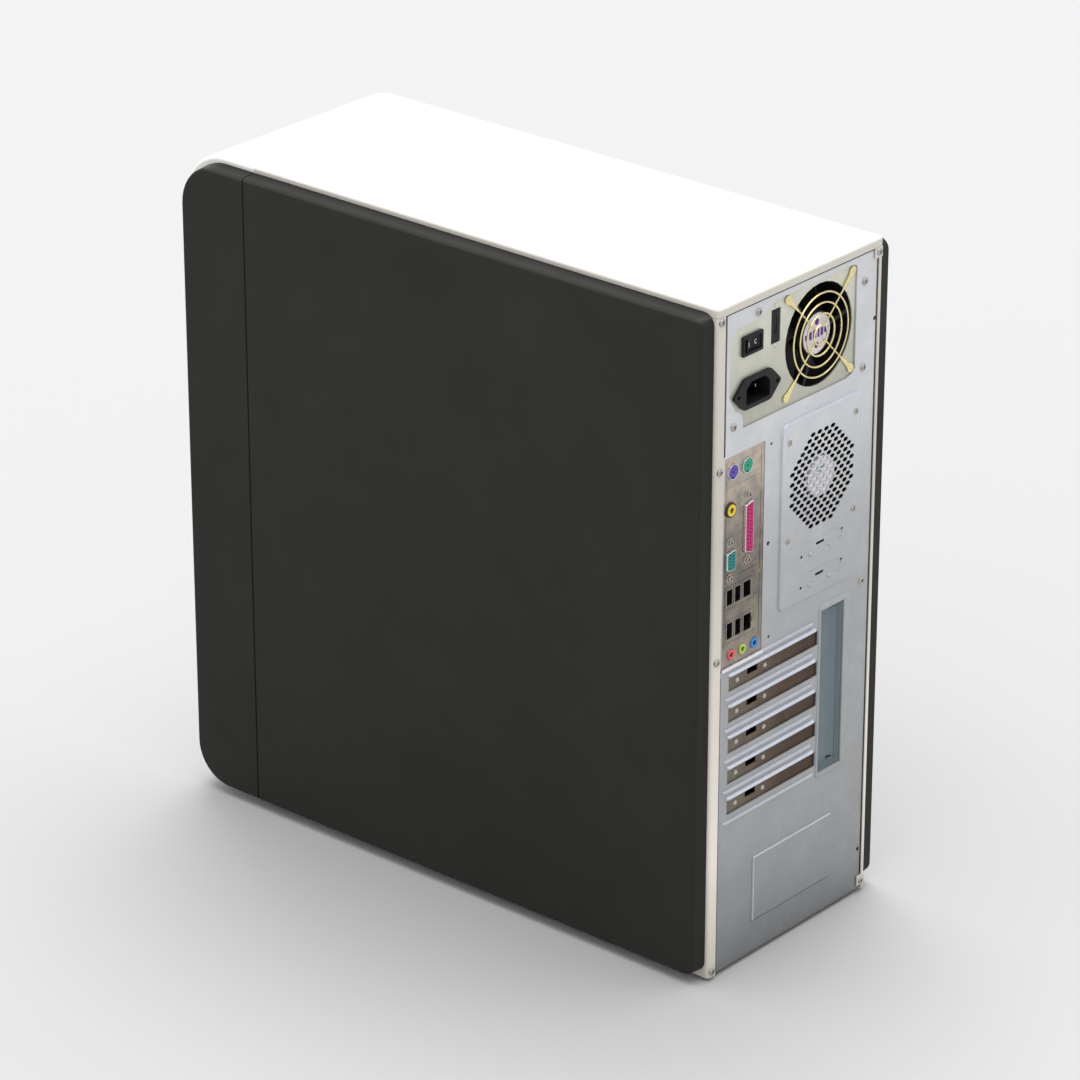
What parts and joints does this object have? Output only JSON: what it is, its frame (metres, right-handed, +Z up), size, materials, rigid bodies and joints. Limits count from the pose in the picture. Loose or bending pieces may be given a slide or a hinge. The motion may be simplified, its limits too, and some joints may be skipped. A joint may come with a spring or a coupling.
{
  "type": "desktop computer tower",
  "caption": "Mid-size desktop computer tower with moulded side skins, curved front bezel, rear connectors, fans, drives and side covers that slide off rearward.",
  "frame": {"origin": "under the middle of the whole object, on the surface that its feet rest on", "axes": "+X to the motherboard side, +Y to the rear with the connectors, +Z up"},
  "size_m": [0.2116, 0.505, 0.5195],
  "materials": {
    "white_paint": "satin",
    "cream_paint": "satin",
    "dark_plastic": "matte, fine grain",
    "white_plastic": "matte",
    "galvanised": "galvanised, satin",
    "psu_steel": "zinc plated, satin",
    "shield_steel": "tin plated, satin",
    "black_plastic": "matte",
    "grey_plastic": "matte",
    "hood_steel": "satin",
    "gold_wire": "gold passivated wire",
    "board_green": "solder mask",
    "aluminium": "satin",
    "rubber": "matte",
    "magenta_plastic": "matte",
    "teal_plastic": "matte",
    "yellow_plastic": "matte"
  },
  "bodies": {
    "chassis": {"top_cover": "white_paint", "front_bezel": "white_plastic", "bezel_cheek_right": "dark_plastic", "bezel_cheek_left": "dark_plastic", "foot_right_rear": "rubber", "foot_right_front": "rubber", "foot_left_rear": "rubber", "foot_left_front": "rubber", "floor_pan": "galvanised", "motherboard_tray": "galvanised", "top_rail": "galvanised", "front_frame": "galvanised", "drive_cage_525": "galvanised", "drive_cage_35": "galvanised", "rear_panel": "galvanised", "slot_cover_1": "shield_steel", "slot_cover_2": "shield_steel", "slot_cover_3": "shield_steel", "slot_cover_4": "shield_steel", "slot_cover_5": "shield_steel", "slot_screw_hood": "hood_steel", "psu_case": "psu_steel", "psu_cover": "psu_steel", "psu_fan_frame": "black_plastic", "psu_fan_guard": "gold_wire", "power_inlet": "black_plastic", "psu_switch_housing": "black_plastic", "voltage_selector": "grey_plastic", "case_fan_frame": "black_plastic", "cpu_heatsink": "aluminium", "cpu_fan_frame": "black_plastic", "motherboard": "board_green", "memory_module": "board_green", "io_shield": "shield_steel", "ps2_ports": "black_plastic", "rca_socket": "yellow_plastic", "parallel_port": "magenta_plastic", "serial_port": "teal_plastic", "usb_ports": "black_plastic", "lan_ports": "black_plastic", "audio_jacks": "black_plastic", "power_lead": "black_plastic", "optical_drive": "grey_plastic", "bay_cover": "white_plastic", "floppy_drive": "grey_plastic", "hard_drive": "aluminium", "switch_board": "board_green"},
    "right_side": {"side_cover_right": "cream_paint", "side_skin_right": "dark_plastic"},
    "left_side": {"side_cover_left": "cream_paint", "side_skin_left": "dark_plastic"},
    "psu_fan_rotor": {"psu_fan_rotor": "black_plastic"},
    "case_fan_rotor": {"case_fan_rotor": "black_plastic"},
    "cpu_fan_rotor": {"cpu_fan_rotor": "black_plastic"},
    "psu_rocker": {"psu_switch_rocker": "black_plastic"},
    "power_button": {"power_button": "grey_plastic"},
    "reset_button": {"reset_button": "grey_plastic"},
    "optical_tray": {"optical_tray": "grey_plastic"},
    "optical_button": {"optical_button": "grey_plastic"},
    "floppy_button": {"floppy_button": "grey_plastic"}
  },
  "joints": [
    {"name": "right_side_slide", "type": "slide", "parent": "chassis", "child": "right_side", "axis": [0, 1, 0], "range_m": [0, 0.44]},
    {"name": "left_side_slide", "type": "slide", "parent": "chassis", "child": "left_side", "axis": [0, 1, 0], "range_m": [0, 0.44]},
    {"name": "psu_fan_spin", "type": "hinge", "parent": "chassis", "child": "psu_fan_rotor", "pos_m": [-0.023, 0.2479, 0.4658], "axis": [0, 1, 0], "continuous": true},
    {"name": "case_fan_spin", "type": "hinge", "parent": "chassis", "child": "case_fan_rotor", "pos_m": [-0.0272, 0.2492, 0.3576], "axis": [0, 1, 0], "continuous": true},
    {"name": "cpu_fan_spin", "type": "hinge", "parent": "chassis", "child": "cpu_fan_rotor", "pos_m": [0.02875, 0.163, 0.338], "axis": [1, 0, 0], "continuous": true},
    {"name": "psu_switch_rock", "type": "hinge", "parent": "chassis", "child": "psu_rocker", "pos_m": [0.0531, 0.2487, 0.4826], "axis": [0, 0, 1], "range_deg": [-14, 0]},
    {"name": "power_button_press", "type": "slide", "parent": "chassis", "child": "power_button", "axis": [0, 1, 0], "range_m": [0, 0.0025], "stiffness_N_per_m": 400},
    {"name": "reset_button_press", "type": "slide", "parent": "chassis", "child": "reset_button", "axis": [0, 1, 0], "range_m": [0, 0.0025], "stiffness_N_per_m": 300},
    {"name": "optical_tray_slide", "type": "slide", "parent": "chassis", "child": "optical_tray", "axis": [0, -1, 0], "range_m": [0, 0.13]},
    {"name": "optical_button_press", "type": "slide", "parent": "chassis", "child": "optical_button", "axis": [0, 1, 0], "range_m": [0, 0.001], "stiffness_N_per_m": 600},
    {"name": "floppy_button_press", "type": "slide", "parent": "chassis", "child": "floppy_button", "axis": [0, 1, 0], "range_m": [0, 0.004], "stiffness_N_per_m": 250}
  ]
}
